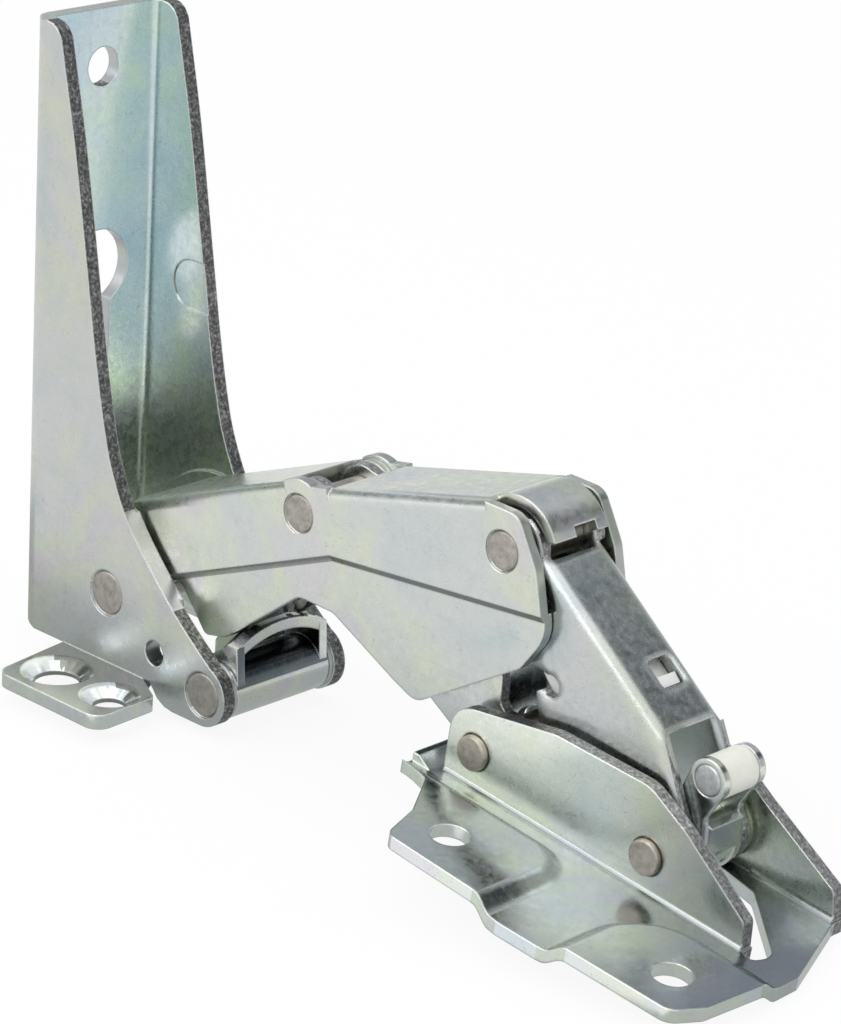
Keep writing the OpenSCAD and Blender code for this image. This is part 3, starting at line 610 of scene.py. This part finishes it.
cam.matrix_world = Matrix.Translation(spot) @ turn
scene.camera = cam


# One for a camera, glossy or transmission ray, and nought for the others
def seen_directly(tree):
    path = tree.nodes.new("ShaderNodeLightPath")
    seen = path.outputs["Is Camera Ray"]
    for ray in ("Is Glossy Ray", "Is Transmission Ray"):
        either = tree.nodes.new("ShaderNodeMath")
        either.operation = "MAXIMUM"
        tree.links.new(seen, either.inputs[0])
        tree.links.new(path.outputs[ray], either.inputs[1])
        seen = either.outputs[0]
    return seen


# Pale floor that glows for what is seen and mirrored, and keeps the shadow
FLOOR_HALF, FLOOR_DROP, FLOOR_GLOW = 3.0, 0.0004, 0.9
bm = bmesh.new()
bmesh.ops.create_grid(bm, x_segments=2, y_segments=2, size=FLOOR_HALF)
floor_mesh = bpy.data.meshes.new("floor")
bm.to_mesh(floor_mesh)
bm.free()
floor = bpy.data.objects.new("floor", floor_mesh)
floor.location = (0, 0, cad_box[0].z - FLOOR_DROP)
scene.collection.objects.link(floor)
pale = Graph("pale_floor")
pale.bsdf.inputs["Roughness"].default_value = 0.9
pale.bsdf.inputs["Base Color"].default_value = (0.9, 0.9, 0.9, 1)
glow = pale.add("ShaderNodeEmission")
glow.inputs["Color"].default_value = (1, 1, 1, 1)
blend = pale.add("ShaderNodeMixShader")
pale.link(pale.math("MULTIPLY", seen_directly(pale.tree), FLOOR_GLOW), blend.inputs["Fac"])
pale.link(pale.bsdf.outputs["BSDF"], blend.inputs[1])
pale.link(glow.outputs["Emission"], blend.inputs[2])
pale.link(blend.outputs["Shader"], pale.out.inputs["Surface"])
floor_mesh.materials.append(pale.mat)

# White surround for what is seen and mirrored, a softer level for the light
world = bpy.data.worlds.new("studio")
scene.world = world
world.use_nodes = True
sky = world.node_tree
sky.nodes.clear()


def background(colour, strength):
    b = sky.nodes.new("ShaderNodeBackground")
    b.inputs["Color"].default_value = (*colour, 1)
    b.inputs["Strength"].default_value = strength
    return b.outputs[0]


sky_out = sky.nodes.new("ShaderNodeOutputWorld")
sky_mix = sky.nodes.new("ShaderNodeMixShader")
sky.links.new(seen_directly(sky), sky_mix.inputs["Fac"])
sky.links.new(background((0.96, 0.98, 1.0), strength=0.8), sky_mix.inputs[1])
sky.links.new(background((1, 1, 1), strength=1.0), sky_mix.inputs[2])
sky.links.new(sky_mix.outputs[0], sky_out.inputs["Surface"])


# Soft lamps, and grey studio cards that only mirror in the metal
def aimed(o, place, aim):
    o.location = place
    o.rotation_euler = (Vector(aim) - Vector(place)).to_track_quat("-Z", "Y").to_euler()
    scene.collection.objects.link(o)


def lamp(name, place, aim, size, power):
    data = bpy.data.lights.new(name, "AREA")
    data.shape = "RECTANGLE"
    data.size, data.size_y = size
    data.energy = power
    aimed(bpy.data.objects.new(name, data), place, aim)


def card(name, place, aim, size, grey):
    x, y = size[0] / 2, size[1] / 2
    mesh = bpy.data.meshes.new(name)
    mesh.from_pydata([(-x, -y, 0), (x, -y, 0), (x, y, 0), (-x, y, 0)], [], [(0, 1, 2, 3)])
    o = bpy.data.objects.new(name, mesh)
    aimed(o, place, aim)
    o.visible_camera = False
    o.visible_diffuse = False
    o.visible_shadow = False
    o.visible_transmission = False
    paint = Graph(name + "_paint")
    e = paint.add("ShaderNodeEmission")
    e.inputs["Color"].default_value = (*grey, 1)
    paint.link(e.outputs["Emission"], paint.out.inputs["Surface"])
    mesh.materials.append(paint.mat)


# Points that the lamps and cards face, and the card that lies just under the part
MID = (0.055, 0, 0.02)
FRONT_LINK = (0.1, 0, 0.01)
UNDER, UNDER_DROP = (0.06, -0.002), 0.0002
under_spot, under_aim = (*UNDER, cad_box[0].z - UNDER_DROP), (*UNDER, 1)

lamp("key", (-0.35, -0.75, 0.75), MID, size=(0.9, 0.9), power=3.0)
lamp("top", (0.15, 0.0, 0.95), MID, size=(0.9, 0.8), power=1.5)
lamp("strip", (0.27, -0.66, 0.74), MID, size=(0.3, 0.3), power=1.0)
card("card_under", under_spot, under_aim, size=(0.23, 0.06), grey=(0.5, 0.52, 0.52))
card("card_right", (0.75, 0.25, 0.2), MID, size=(0.8, 0.9), grey=(0.40, 0.43, 0.44))
card("card_back", (-0.1, 0.9, 0.6), MID, size=(1.9, 0.9), grey=(0.50, 0.53, 0.55))
card("card_far", (0.46, 0.56, 0.49), FRONT_LINK, size=(0.40, 0.34), grey=(0.09, 0.10, 0.11))
card("card_left", (-0.9, -0.12, 0.5), MID, size=(0.5, 0.5), grey=(0.2, 0.21, 0.22))
